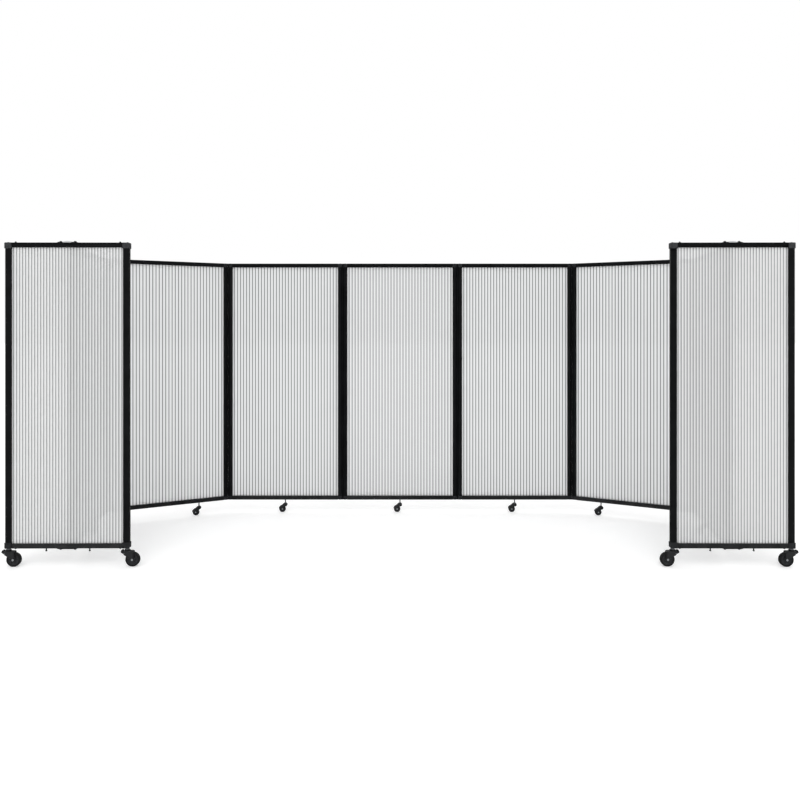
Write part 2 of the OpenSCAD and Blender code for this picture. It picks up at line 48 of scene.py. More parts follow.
# the same sizes as in part.scad, so that a piece lands where its node is
row = {
    "pitch": 838, "linkReach": 36, "outerBend": 27, "cornerBend": 72.4, "toe": 0.5,
    "wallHigh": 1722, "wallGap": 93, "postR": 15.5, "railHigh": 27, "grooveDeep": 9,
    "endWide": 696, "endGap": 104, "endPostWide": 35, "endPostDeep": 26,
    "endRailHigh": 27, "cornerOut": 3, "cornerDeep": 34, "studX": 122, "boltSpan": 81,
    "plateThick": 3.7, "pinR": 4, "pinLong": 20, "recess": 4, "stripThick": 4.3,
    "stripWide": 22, "casterShare": 0.25, "largeX": 334, "run": 0.06, "lipThick": 4,
    "lipPlay": 0.35,
}
row["span"] = row["pitch"] - row["linkReach"]
row["endReach"] = row["endPostDeep"] / 2 + row["lipThick"] + row["lipPlay"] + row["postR"]
row["wallTop"] = row["wallGap"] + row["wallHigh"]
row["endTop"] = row["endGap"] + row["wallHigh"]


def way(side, heading):
    # unit step outwards along the row, turned towards the viewer by heading degrees
    a = math.radians(heading)
    return Vector((side * math.cos(a), -math.sin(a)))


def bendPoints(side):
    # hinge pivots from the middle outwards, then the middle of the end frame
    outer, corner = row["outerBend"], row["cornerBend"]
    points = [Vector((side * (1.5 * row["pitch"] - row["linkReach"] / 2), 0))]
    steps = (
        (row["linkReach"], outer / 2), (row["span"], outer),
        (row["linkReach"], outer + corner / 2), (row["span"], outer + corner),
        (row["endReach"], 90 + row["toe"]),
    )
    for length, heading in steps:
        points.append(points[-1] + length * way(side, heading))
    return points


toe = math.radians(row["toe"])
frontY = (bendPoints(1)[5].y - (row["endWide"] / 2 + row["cornerOut"]) * math.sin(toe)
          - row["cornerDeep"] / 2 * math.cos(toe))
midY = (frontY + row["postR"]) / 2


def standAt(x, y, turn):
    return (Matrix.Translation((x * mm, (y - midY) * mm, 0))
            @ Matrix.Rotation(math.radians(turn), 4, "Z"))


def sideOf(n):
    return -1 if n < 4 else 1


def wallTurn(n):
    if n in (1, 7):
        return row["outerBend"] + row["cornerBend"]
    return row["outerBend"] if n in (2, 6) else 0


def wallMiddle(n):
    points = bendPoints(sideOf(n))
    if n in (1, 7):
        return (points[3] + points[4]) / 2
    if n in (2, 6):
        return (points[1] + points[2]) / 2
    return Vector(((n - 4) * row["pitch"], 0))


def wallPlace(n):
    middle = wallMiddle(n)
    return standAt(middle.x, middle.y, -sideOf(n) * wallTurn(n))


def endPlace(side):
    middle = bendPoints(side)[5]
    return standAt(middle.x, middle.y, -side * row["toe"])


def linkPlace(side, k):
    points = bendPoints(side)
    start = (Vector((side * row["span"] / 2, 0)), points[0], points[2])[k]
    heading = (0, row["outerBend"] / 2, row["outerBend"] + row["cornerBend"] / 2)[k]
    return standAt(start.x, start.y, -heading if side > 0 else 180 + heading)


def smallPlace(n):
    # a small caster's stem, with +X along its trail, to the left
    shift = 0
    if n not in (3, 4, 5):
        shift = -sideOf(n) * (row["pitch"] / 2 - row["casterShare"] * row["pitch"])
    a = math.radians(-sideOf(n) * wallTurn(n))
    middle = wallMiddle(n) + shift * Vector((math.cos(a), math.sin(a)))
    return standAt(middle.x, middle.y, 180)


def largePlace(n):
    # a large caster's stem, with +X along its trail, towards the middle of the row
    shift = row["largeX"] * (-1 if n in (1, 3) else 1)
    return (endPlace(-1 if n < 3 else 1) @ Matrix.Translation((shift * mm, 0, 0))
            @ Matrix.Rotation(0 if n < 3 else math.pi, 4, "Z"))


# doubles nearer than weld are merged, edges flatter than flatAngle are dissolved, edges
# over sharpAngle are shaded sharp, and places nearer than same count as one
meshSize = {"weld": 0.002, "seam": 1e-4, "flatAngle": 1.5, "sharpAngle": 32, "same": 0.01}


def addedVerts(result):
    return [v for v in result["geom"] if isinstance(v, bmesh.types.BMVert)]


def slab(outline, low, high):
    # a flat outline of a few points, pulled up into a plate
    bm = bmesh.new()
    face = bm.faces.new([bm.verts.new((x, y, low)) for x, y in outline])
    pulled = bmesh.ops.extrude_face_region(bm, geom=[face])
    bmesh.ops.translate(bm, verts=addedVerts(pulled), vec=(0, 0, high - low))
    bmesh.ops.recalc_face_normals(bm, faces=bm.faces)
    return bm


def turned(profile, steps=48, closed=False):
    # a profile of (radius, height) points, spun about Z
    bm = bmesh.new()
    line = [bm.verts.new((r, 0, z)) for r, z in profile]
    pairs = list(zip(line, line[1:])) + ([(line[-1], line[0])] if closed else [])
    wires = [bm.edges.new(pair) for pair in pairs]
    bmesh.ops.spin(bm, geom=line + wires, cent=(0, 0, 0), axis=(0, 0, 1),
                   angle=2 * math.pi, steps=steps, use_merge=True)
    bmesh.ops.remove_doubles(bm, verts=bm.verts, dist=meshSize["seam"])
    bmesh.ops.recalc_face_normals(bm, faces=bm.faces)
    return bm


def rod(r, low, high, lowEdge=0, highEdge=0, steps=32):
    # a plain rod about Z, its ends turned off by lowEdge and highEdge
    profile = ((0, low), (r - lowEdge, low), (r, low + lowEdge), (r, high - highEdge),
               (r - highEdge, high), (0, high))
    return turned([p for i, p in enumerate(profile) if p != profile[i - 1]], steps)


def softened(bm, width, segments=2, sharp=35):
    # rounds the sharp edges, as a mould or a tumbled blank leaves them
    edges = [e for e in bm.edges
             if e.is_manifold and e.calc_face_angle() > math.radians(sharp)]
    bmesh.ops.bevel(bm, geom=edges, offset=width, offset_type="OFFSET", affect="EDGES",
                    segments=segments, profile=0.5, material=-1, clamp_overlap=True)
    return bm


def moved(bm, x=0, y=0, z=0, tilt=0):
    tilted = Matrix.Rotation(math.radians(tilt), 4, "X")
    bm.transform(Matrix.Translation((x, y, z)) @ tilted)
    return bm


def turnedOver(bm):
    # upside down by a mirror, so that its sides stay where they are
    bm.transform(Matrix.Scale(-1, 4, (0, 0, 1)))
    bmesh.ops.reverse_faces(bm, faces=bm.faces)
    return bm


def upAndDown(make, low, high, x=0, y=0):
    # the same piece at the top of a frame and turned over at its bottom
    return [moved(make(), x, y, high), moved(turnedOver(make()), x, y, low)]


def gather(parts):
    whole = bmesh.new()
    for part in parts:
        scratch = bpy.data.meshes.new("scratch")
        part.to_mesh(scratch)
        part.free()
        whole.from_mesh(scratch)
        bpy.data.meshes.remove(scratch)
    return whole


def solidsOf(nodeName, place):
    # merged copies of a CAD node's separate solids, in the piece's own millimetres
    whole = bmesh.new()
    whole.from_mesh(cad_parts[nodeName].data)
    whole.transform(Matrix.Scale(1 / mm, 4) @ place.inverted())
    bmesh.ops.remove_doubles(whole, verts=whole.verts, dist=meshSize["weld"])
    bmesh.ops.dissolve_limit(whole, angle_limit=math.radians(meshSize["flatAngle"]),
                             verts=whole.verts, edges=whole.edges,
                             use_dissolve_boundaries=False)
    whole.faces.index_update()
    left, groups = set(whole.faces), []
    while left:
        stack, group = [left.pop()], set()
        while stack:
            face = stack.pop()
            group.add(face.index)
            near = {f for v in face.verts for f in v.link_faces} & left
            left -= near
            stack.extend(near)
        groups.append(group)
    solids = []
    for group in groups:
        solid = whole.copy()
        solid.faces.ensure_lookup_table()
        others = [f for f in solid.faces if f.index not in group]
        bmesh.ops.delete(solid, geom=others, context="FACES")
        solids.append(solid)
    whole.free()
    return solids


def reach(bm):
    # lowest and highest corner of a solid
    xs, ys, zs = zip(*[v.co for v in bm.verts])
    return Vector((min(xs), min(ys), min(zs))), Vector((max(xs), max(ys), max(zs)))


def bulkiest(nodeName, place):
    return max(solidsOf(nodeName, place), key=lambda bm: bm.calc_volume())


def lowest(nodeName, place):
    # of a wheel's two solids this is the core, because the tyre reaches higher
    return min(solidsOf(nodeName, place), key=lambda bm: reach(bm)[1].z)


def finishPiece(name, bm, place, body, finish, node, second=None):
    # a shape in millimetres becomes a named piece in metres, on its body
    bm.transform(place @ Matrix.Scale(mm, 4))
    mesh = bpy.data.meshes.new(name)
    bm.to_mesh(mesh)
    bm.free()
    mesh.shade_smooth()
    mesh.set_sharp_from_angle(angle=math.radians(meshSize["sharpAngle"]))
    for each in (finish, second):
        if each:
            mesh.materials.append(each)
    piece = bpy.data.objects.new(name, mesh)
    bpy.context.scene.collection.objects.link(piece)
    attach(piece, body)
    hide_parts(node)


def srgb(code):
    parts = [int(code[i:i + 2], 16) / 255 for i in (1, 3, 5)]
    line = [c / 12.92 if c <= 0.04045 else ((c + 0.055) / 1.055) ** 2.4 for c in parts]
    return (*line, 1)


def addNode(tree, kind, values=None, links=None, **settings):
    node = tree.nodes.new("ShaderNode" + kind)
    for key, value in settings.items():
        setattr(node, key, value)
    for key, value in (values or {}).items():
        node.inputs[key].default_value = value
    for key, source in (links or {}).items():
        tree.links.new(source, node.inputs[key])
    return node


def newFinish(name):
    finish = bpy.data.materials.new(name)
    finish.use_nodes = True
    finish.node_tree.nodes.clear()
    return finish, finish.node_tree


def setRamp(node, stops):
    # stops of (place, colour) on a colour ramp
    ramp = node.color_ramp
    while len(ramp.elements) < len(stops):
        ramp.elements.new(0.5)
    for element, (place, colour) in zip(ramp.elements, stops):
        element.position = place
        element.color = colour


def speckledFinish(name, dark, pale, rough, grainSize, grainHeight, cloudSize,
                   metal=0.0, shine=0.5):
    # two close tones in soft clouds, a fine grain bump, and roughness that follows the
    # grain; the sizes of grain and clouds are in millimetres
    finish, tree = newFinish(name)
    here = addNode(tree, "TexCoord").outputs["Object"]
    cloud = addNode(tree, "TexNoise", {"Scale": 1 / (cloudSize * mm), "Detail": 3.0,
                                       "Roughness": 0.55}, {"Vector": here})
    grain = addNode(tree, "TexNoise", {"Scale": 1 / (grainSize * mm), "Detail": 2.0,
                                       "Roughness": 0.6}, {"Vector": here})
    tone = addNode(tree, "ValToRGB", links={"Fac": cloud.outputs["Fac"]})
    setRamp(tone, ((0.32, srgb(dark)), (0.7, srgb(pale))))
    gloss = addNode(tree, "MapRange", {"From Min": 0.3, "From Max": 0.7,
                                       "To Min": rough[0], "To Max": rough[1]},
                    {"Value": grain.outputs["Fac"]})
    bump = addNode(tree, "Bump", {"Strength": 0.5, "Distance": grainHeight * mm},
                   {"Height": grain.outputs["Fac"]})
    skin = addNode(tree, "BsdfPrincipled",
                   {"Metallic": metal, "Specular IOR Level": shine},
                   {"Base Color": tone.outputs["Color"], "Normal": bump.outputs["Normal"],
                    "Roughness": gloss.outputs["Result"]})
    addNode(tree, "OutputMaterial", links={"Surface": skin.outputs["BSDF"]})
    return finish


print("finishes")

# polyester powder coat on extruded aluminium: deep black, satin, with faint orange peel
# of about 1.2 mm that breaks up the shine along the bars
blackPowderCoat = speckledFinish("blackPowderCoatOnAluminium", "#0a0b0c", "#121315",
                                 (0.42, 0.55), 1.2, 0.03, 90, shine=0.06)
# the same coat on the bottom rails, a paler grey than on the bars above
palerRailPowderCoat = speckledFinish("palerBottomRailPowderCoat", "#1e1f20", "#2b2c2d",
                                 (0.48, 0.62), 1.2, 0.03, 45, shine=0.12)
# the same coat on pressed steel, a little smoother and greyer than the bars
blackCoatedSteel = speckledFinish("blackPowderCoatOnSteel", "#101112", "#1a1b1d",
                                  (0.36, 0.5), 0.9, 0.03, 14, shine=0.12)
# glass-filled nylon, injection moulded: dark grey with a spark-eroded matt grain
greyNylon = speckledFinish("mouldedGreyNylon", "#1b1c1e", "#262729",
                           (0.5, 0.66), 0.7, 0.05, 12, shine=0.12)
# painted light: the same nylon on the upper blocks of the end frames, painted paler for
# the light that falls on them from above
upperBlockLitNylon = speckledFinish("greyNylonPaintedLight", "#2d2e30", "#3d3e40",
                              (0.5, 0.66), 0.7, 0.05, 12, shine=0.12)
# polypropylene, moulded black: caster forks and pedals, satin with a fine grain
blackPolypropylene = speckledFinish("mouldedBlackPolypropylene", "#131415", "#1e1f21",
                                    (0.38, 0.52), 0.6, 0.04, 9, shine=0.25)
# thermoplastic rubber tread: soft black, dull, with a dusty grey cast
blackTreadRubber = speckledFinish("blackTreadRubber", "#131314", "#1d1d1e",
                                  (0.62, 0.82), 0.8, 0.06, 7, shine=0.15)
# polyolefin wheel core: dark grey, moulded smooth
greyWheelCore = speckledFinish("mouldedGreyWheelCore", "#232426", "#2f3032",
                               (0.42, 0.55), 0.6, 0.03, 8, shine=0.2)
# steel, barrel zinc plated: cool silver with the cloudy spangle of the plating
zincPlatedSteel = speckledFinish("zincPlatedSteel", "#85888b", "#a4a7a9",
                                 (0.26, 0.42), 0.5, 0.015, 3.5, metal=1.0)
# the casters' stems and necks: the same plating, dulled to a darker grey in use
dullZincSteel = speckledFinish("dullZincPlatedSteel", "#55575a", "#707275",
                               (0.36, 0.52), 0.5, 0.015, 3.5, metal=1.0)
# ABS strip, extruded pale grey: satin, nearly even in tone
paleGreyStrip = speckledFinish("extrudedPaleGreyStrip", "#b9bbbd", "#c9cbcc",
                               (0.35, 0.45), 0.8, 0.02, 20, shine=0.4)


def opalSkinFinish(name, glow, cover):
    # milky layer on both faces of twin-wall polycarbonate: over each upright rib a grey
    # line of painted shade stands for the light the rib holds back, the channel between
    # two ribs is nearly white, and dark bars behind the sheet show through as faint
    # bands; glow is the share of the light from behind, cover how much the layer hides
    # over a rib and between two of them
    finish, tree = newFinish(name)
    channels = addNode(tree, "UVMap", uv_map="channels").outputs["UV"]
    across = addNode(tree, "SeparateXYZ", links={"Vector": channels}).outputs["X"]
    fromRib = addNode(tree, "Math", {1: 0.5}, {0: across}, operation="PINGPONG")
    rib = addNode(tree, "ValToRGB", links={"Fac": fromRib.outputs[0]})
    # the grey stops over the rib are painted shade
    setRamp(rib, ((0.0, srgb("#5a5c5e")), (0.08, srgb("#76787a")),
                  (0.18, srgb("#f8f9f9")), (0.5, srgb("#fefeff"))))
    solid = addNode(tree, "MapRange", {"From Min": 0.05, "From Max": 0.2,
                                       "To Min": cover[0], "To Max": cover[1]},
                    {"Value": fromRib.outputs[0]})
    here = addNode(tree, "TexCoord").outputs["Object"]
    haze = addNode(tree, "TexNoise", {"Scale": 9.0, "Detail": 2.0}, {"Vector": here})
    gloss = addNode(tree, "MapRange", {"To Min": 0.3, "To Max": 0.46},
                    {"Value": haze.outputs["Fac"]})
    skin = addNode(tree, "BsdfPrincipled", {"IOR": 1.585, "Specular IOR Level": 0.3},
                   {"Base Color": rib.outputs["Color"], "Roughness": gloss.outputs[0]})
    rear = addNode(tree, "BsdfTranslucent", links={"Color": rib.outputs["Color"]})
    milk = addNode(tree, "MixShader", {0: glow},
                   {1: skin.outputs["BSDF"], 2: rear.outputs["BSDF"]})
    clear = addNode(tree, "BsdfTransparent", {"Color": (1, 1, 1, 1)})
    both = addNode(tree, "MixShader",
                   links={0: solid.outputs[0], 1: clear.outputs["BSDF"],
                          2: milk.outputs["Shader"]})
    addNode(tree, "OutputMaterial", links={"Surface": both.outputs["Shader"]})
    return finish


def clearCoreFinish():
    # clear polycarbonate of the ribs and channel walls, with a light haze of its own
    finish, tree = newFinish("clearPolycarbonateCore")
    here = addNode(tree, "TexCoord").outputs["Object"]
    haze = addNode(tree, "TexNoise", {"Scale": 14.0, "Detail": 2.0}, {"Vector": here})
    solid = addNode(tree, "MapRange", {"To Min": 0.06, "To Max": 0.14},
                    {"Value": haze.outputs["Fac"]})
    skin = addNode(tree, "BsdfPrincipled", {"Base Color": srgb("#f2f4f5"), "IOR": 1.585,
                                            "Roughness": 0.3, "Specular IOR Level": 0.3})
    clear = addNode(tree, "BsdfTransparent", {"Color": (1, 1, 1, 1)})
    both = addNode(tree, "MixShader",
                   links={0: solid.outputs[0], 1: clear.outputs["BSDF"],
                          2: skin.outputs["BSDF"]})
    addNode(tree, "OutputMaterial", links={"Surface": both.outputs["Shader"]})
    return finish


# the wall's sheets glow with the light from behind them, the end sheets much less
opalSkin = opalSkinFinish("opalPolycarbonateSkin", glow=0.72, cover=(0.8, 0.58))
denseSkin = opalSkinFinish("denseOpalPolycarbonateSkin", glow=0.22, cover=(0.8, 0.68))
clearCore = clearCoreFinish()

print("fluted sheets")
sheetSize = {"thick": 8, "skin": 1, "rib": 1, "wallCells": 36, "endCells": 38,
             "edgePlay": 0.5}


def widthOf(face):
    xs = [v.co.x for v in face.verts]
    return max(xs) - min(xs)


def flutedSheet(wide, low, high, cells):
    # a grid for the section, its channels opened, pulled up to the height of the sheet
    size, cell = sheetSize, (wide - sheetSize["rib"]) / cells
    columns, half = 2 * cells + 1, size["thick"] / 2
    depths = (-half, -half + size["skin"], half - size["skin"], half)
    layers = len(depths) - 1
    bm = bmesh.new()
    bmesh.ops.create_grid(bm, x_segments=columns, y_segments=layers, size=1)
    for v in bm.verts:
        i = round((v.co.x + 1) / 2 * columns)
        j = round((v.co.y + 1) / 2 * layers)
        v.co = ((i // 2) * cell + (i % 2) * size["rib"] - wide / 2, depths[j], low)
    hollow = [f for f in bm.faces if abs(f.calc_center_median().y) < size["skin"]
              and widthOf(f) > 2 * size["rib"]]
    bmesh.ops.delete(bm, geom=hollow, context="FACES")
    notch = row["grooveDeep"] - size["edgePlay"]
    for x in (-1, 1):
        bmesh.ops.bisect_plane(bm, geom=bm.verts[:] + bm.edges[:] + bm.faces[:],
                               plane_co=(x * (wide / 2 - notch), 0, 0),
                               plane_no=(1, 0, 0))
    bmesh.ops.translate(bm, verts=bm.verts, vec=(0, 0, notch))
    pulled = bmesh.ops.extrude_face_region(bm, geom=bm.faces[:])
    bmesh.ops.translate(bm, verts=addedVerts(pulled), vec=(0, 0, high - low - 2 * notch))
    # the corners stay short, to leave room for the connectors
    for z, step in ((low + notch, -notch), (high - notch, notch)):
        inner = [f for f in bm.faces
                 if all(abs(v.co.z - z) < meshSize["same"] for v in f.verts)
                 and abs(f.calc_center_median().x) < wide / 2 - notch]
        more = bmesh.ops.extrude_face_region(bm, geom=inner)
        bmesh.ops.translate(bm, verts=addedVerts(more), vec=(0, 0, step))
        bmesh.ops.delete(bm, geom=inner, context="FACES")
    bmesh.ops.recalc_face_normals(bm, faces=bm.faces)
    channels = bm.loops.layers.uv.new("channels")
    for face in bm.faces:
        for loop in face.loops:
            # across, one step for each channel, from the middle of a rib; up, for 100 mm
            x = loop.vert.co.x + wide / 2 - size["rib"] / 2
            loop[channels].uv = (x / cell, loop.vert.co.z / 100)
        # the second finish is for the clear walls inside
        depth = abs(face.calc_center_median().y)
        face.material_index = int(depth < half - 0.1)
    return bm


def frameSheet(name, place, inner, low, high, rail, cells, finish):
    # the sheet of a frame reaches into the grooves on all four sides
    lap = row["grooveDeep"] - sheetSize["edgePlay"]
    sheet = flutedSheet(2 * (inner + lap), low + rail - lap, high - rail + lap, cells)
    finishPiece(f"{name}_fluted_sheet", sheet, place, name, finish,
                f"{name}_sheet", second=clearCore)


for n in range(1, 8):
    frameSheet(f"wall_{n}", wallPlace(n), row["span"] / 2 - row["postR"],
               row["wallGap"], row["wallTop"], row["railHigh"],
               sheetSize["wallCells"], opalSkin)
for name, side in sides.items():
    frameSheet(f"end_{name}", endPlace(side), row["endWide"] / 2 - row["endPostWide"],
               row["endGap"], row["endTop"], row["endRailHigh"],
               sheetSize["endCells"], denseSkin)

print("frames and connectors")
mouldEdge = {"bars": 0.45, "connectors": 0.7, "blocks": 1.0, "straps": 0.5,
             "smallFork": 0.8, "largeFork": 1.0, "core": 0.6, "pedal": 0.9}


def refined(solids, width):
    return gather([softened(solid, width) for solid in solids])


def frameBars(name, place, railTop):
    # posts and rails of a frame, with the paler finish on all that is under railTop
    solids, limit = solidsOf(f"{name}_frame", place), railTop + meshSize["same"]
    for solid in solids:
        for face in solid.faces:
            face.material_index = int(all(v.co.z < limit for v in face.verts))
    finishPiece(f"{name}_bars", refined(solids, mouldEdge["bars"]), place, name,
                blackPowderCoat, f"{name}_frame",
                second=palerRailPowderCoat)


for n in range(1, 8):
    place, body = wallPlace(n), f"wall_{n}"
    frameBars(body, place, row["wallGap"] + row["railHigh"])
    connectors = refined(solidsOf(f"{body}_corners", place), mouldEdge["connectors"])
    finishPiece(f"{body}_connectors", connectors, place, body, greyNylon,
                f"{body}_corners")

print("hinge links")
linkSize = {"plateR": 15.3, "headR": 6, "headHigh": 2, "edge": 0.5, "arcSteps": 30,
            "lipWide": 4, "lipFlat": 2, "lipPlay": 0.03, "stripEdge": 0.25}


def linkPlate():
    # two arcs about the pivots, joined across a short waist
    size, far = linkSize, row["linkReach"]
    waist = math.asin(row["stripWide"] / 2 / size["plateR"])
    sweep = 2 * (math.pi - waist)
    bm = bmesh.new()
    for x, start in ((0, waist), (far, math.pi + waist)):
        first = bm.verts.new((x + size["plateR"] * math.cos(start),
                              size["plateR"] * math.sin(start), 0))
        bmesh.ops.spin(bm, geom=[first], cent=(x, 0, 0), axis=(0, 0, 1), angle=sweep,
                       steps=size["arcSteps"])
    ends = [v for v in bm.verts if len(v.link_edges) == 1]
    for y in (-1, 1):
        bm.edges.new([v for v in ends if v.co.y * y > 0])
    face = bmesh.ops.contextual_create(bm, geom=bm.edges[:])["faces"]
    pulled = bmesh.ops.extrude_face_region(bm, geom=face)
    bmesh.ops.translate(bm, verts=addedVerts(pulled), vec=(0, 0, row["plateThick"]))
    bmesh.ops.recalc_face_normals(bm, faces=bm.faces)
    return softened(bm, size["edge"])


def pivotPin():
    # a shank that turns in the connectors, with a low domed head on the plate
    r, head, plate = row["pinR"], linkSize["headR"], row["plateThick"]
    long = row["pinLong"] + row["recess"] - plate - 1
    return turned(((0, -long), (r - 0.6, -long), (r, -long + 0.6), (r, plate),
                   (head - 0.2, plate + 0.02), (head, plate + 0.4),
                   (head - 0.5, plate + 1.3), (head - 2, plate + 1.8),
                   (0, plate + linkSize["headHigh"])), 32)


def gapStrip(low, high):
    # soft lips along the middle of the strip all but touch both posts
    size, middle, half = linkSize, row["linkReach"] / 2, row["stripThick"] / 2
    lips = middle - row["postR"] - size["lipPlay"]
    right = [(half, -row["stripWide"] / 2), (half, -size["lipWide"]),
             (lips, -size["lipFlat"])]
    right += [(x, -y) for x, y in reversed(right)]
    left = [(-x, -y) for x, y in right]
    strip = slab([(middle + x, y) for x, y in right + left], low, high)
    return softened(strip, size["stripEdge"])


for name, side, k in (("12", -1, 2), ("23", -1, 1), ("34", -1, 0),
                      ("45", 1, 0), ("56", 1, 1), ("67", 1, 2)):
    place, body = linkPlace(side, k), f"link_{name}"
    low, high = row["wallGap"] + row["plateThick"], row["wallTop"] - row["plateThick"]
    finishPiece(f"{body}_plates", gather(upAndDown(linkPlate, low, high)), place, body,
                blackCoatedSteel, body)
    pins = (upAndDown(pivotPin, low, high)
            + upAndDown(pivotPin, low, high, row["linkReach"]))
    finishPiece(f"{body}_pins", gather(pins), place, body, blackCoatedSteel,
                body)
    finishPiece(f"{body}_gap_strip", gapStrip(low, high), place, body, blackPowderCoat,
                body)

print("end frames")
# a fitting wider and higher than blockOver is a corner block, a flat one wider than
# strapOver is a hinge strap
fittingSize = {"blockOver": 40, "strapOver": 100, "strapThick": 4}
hexSize = {"turnOff": 0.1, "edge": 0.15}
boltSize = {"washerR": 8, "washerHigh": 1, "washerEdge": 0.2, "headR": 7, "headHigh": 4}
coverSize = {"radius": 86.6, "rise": 5, "thick": 1.2, "wide": 20, "halfTurn": 17.1,
             "arcSteps": 18, "edge": 0.3, "apronHigh": 4, "apronThick": 0.6,
             "apronIn": 1, "apronOut": 0.1, "apronUp": 0.3, "apronEdge": 0.15}
studSize = {"rodR": 3.7, "root": 3.3, "long": 13, "pitch": 1, "footR": 6.4,
            "footHigh": 5, "nutR": 6, "nutHigh": 2.5}
screwSize = {"cornerIn": 13, "cornerR": 5, "cornerHigh": 3, "railIn": 54,
             "upperR": 5.2, "upperHigh": 6.5, "lowerR": 5.4, "lowerHigh": 6,
             "recessLong": 0.48, "recessWide": 0.14, "recessDeep": 1.6}


def hexHead(radius, high):
    # hexagon bar, its corners turned off on the outer face
    bm = bmesh.new()
    bmesh.ops.create_circle(bm, cap_ends=True, segments=6, radius=radius)
    pulled = bmesh.ops.extrude_face_region(bm, geom=bm.faces[:])
    bmesh.ops.translate(bm, verts=addedVerts(pulled), vec=(0, 0, high))
    bmesh.ops.recalc_face_normals(bm, faces=bm.faces)
    top = [e for e in bm.edges
           if all(v.co.z > high - meshSize["same"] for v in e.verts)]
    bmesh.ops.bevel(bm, geom=top, offset=radius * hexSize["turnOff"],
                    offset_type="OFFSET", affect="EDGES", segments=2, profile=0.5,
                    material=-1)
    return softened(bm, hexSize["edge"], segments=1, sharp=50)


def hexBolt():
    size = boltSize
    washer = rod(size["washerR"], 0, size["washerHigh"], size["washerEdge"],
                 size["washerEdge"], 48)
    head = moved(hexHead(size["headR"], size["headHigh"]), z=size["washerHigh"])
    return gather([washer, head])


def panScrew(radius, high):
    # the domed head grows outwards from the outline of its cross recess
    long, narrow = radius * screwSize["recessLong"], radius * screwSize["recessWide"]
    quarter = ((long, -narrow), (long, narrow), (narrow, narrow))
    bm = bmesh.new()
    cross = [bm.verts.new((x * math.cos(a) - y * math.sin(a),
                           x * math.sin(a) + y * math.cos(a), high))
             for a in (math.pi / 2 * i for i in range(4)) for x, y in quarter]
    floor = bm.faces.new(cross)
    bmesh.ops.subdivide_edges(bm, edges=list(floor.edges), cuts=2)
    loop = list(floor.edges)
    # shares of the radius and of the height, from the recess out to the foot
    dome = ((0.62, 1), (0.86, 0.86), (0.97, 0.62), (1, 0.35), (1, 0))
    for share, level in dome:
        out = bmesh.ops.extrude_edge_only(bm, edges=loop)["geom"]
        for v in (g for g in out if isinstance(g, bmesh.types.BMVert)):
            flat = Vector((v.co.x, v.co.y)).normalized() * radius * share
            v.co = (flat.x, flat.y, high * level)
        loop = [g for g in out if isinstance(g, bmesh.types.BMEdge)
                and all(abs(v.co.xy.length - radius * share) < meshSize["same"]
                        and abs(v.co.z - high * level) < meshSize["same"]
                        for v in g.verts)]
    bmesh.ops.contextual_create(bm, geom=loop)
    sunk = bmesh.ops.extrude_face_region(bm, geom=[floor])
    deep = min(screwSize["recessDeep"], high / 2)
    bmesh.ops.translate(bm, verts=addedVerts(sunk), vec=(0, 0, -deep))
    bmesh.ops.delete(bm, geom=[floor], context="FACES")
    bmesh.ops.recalc_face_normals(bm, faces=bm.faces)
    return bm


def bowedCover():
    # a straight edge swung along a wide arc, given the thickness of its sheet
    size, a = coverSize, math.radians(coverSize["halfTurn"])
    bm = bmesh.new()
    ends = [bm.verts.new((-size["radius"] * math.sin(a), y * size["wide"] / 2,
                          size["radius"] * (math.cos(a) - 1) + size["rise"]))
            for y in (-1, 1)]
    edge = bm.edges.new(ends)
    bmesh.ops.spin(bm, geom=ends + [edge], cent=(0, 0, size["rise"] - size["radius"]),
                   axis=(0, 1, 0), angle=2 * a, steps=size["arcSteps"])
    bmesh.ops.recalc_face_normals(bm, faces=bm.faces)
    if sum(f.normal.z for f in bm.faces) < 0:
        bmesh.ops.reverse_faces(bm, faces=bm.faces)
    bmesh.ops.solidify(bm, geom=bm.faces[:], thickness=size["thick"])
    bmesh.ops.recalc_face_normals(bm, faces=bm.faces)
    return softened(bm, size["edge"], sharp=50)


def coverApron():
    # thin apron under the bow, which hides the front edge of the strap
    size, high = coverSize, coverSize["apronHigh"]
    half = size["radius"] * math.sin(math.radians(size["halfTurn"]))
    end = half - size["apronIn"]
    apron = slab(((-end, 0), (end, 0), (end, high), (half / 2, high + 3), (0, high + 4),
                  (-half / 2, high + 3), (-end, high)), 0, size["apronThick"])
    return softened(apron, size["apronEdge"])


def stopStud():
    # threaded rod with its crests drawn as rings, a turned foot and a nut
    size, r, low = studSize, studSize["rodR"], -studSize["long"]
    profile, z = [(0, low)], low + 0.5
    while z < -size["nutHigh"]:
        profile += [(size["root"], z), (r, z + size["pitch"] / 2)]
        z += size["pitch"]
    profile += [(r, 0), (0, 0)]
    wide, high = size["footR"], size["footHigh"]
    foot = turned(((0, 0), (wide - 0.5, 0), (wide, 0.5), (wide, 1.6), (wide - 0.4, 2),
                   (r + 0.6, high - 0.3), (r + 0.3, high), (0, high)), 32)
    nut = turnedOver(hexHead(size["nutR"], size["nutHigh"]))
    return turned(profile, 24), moved(foot, z=low - high), nut


def endScrews(side, low, high):
    # one screw on the corner block, and one in each rail beside it, above and below
    size, half = screwSize, row["endWide"] / 2
    corner, rail = side * (half - size["cornerIn"]), side * (half - size["railIn"])
    return [moved(panScrew(size["cornerR"], size["cornerHigh"]), corner, 0,
                  high + row["run"]),
            moved(panScrew(size["upperR"], size["upperHigh"]), rail, 0, high),
            moved(turnedOver(panScrew(size["lowerR"], size["lowerHigh"])), rail, 0, low)]


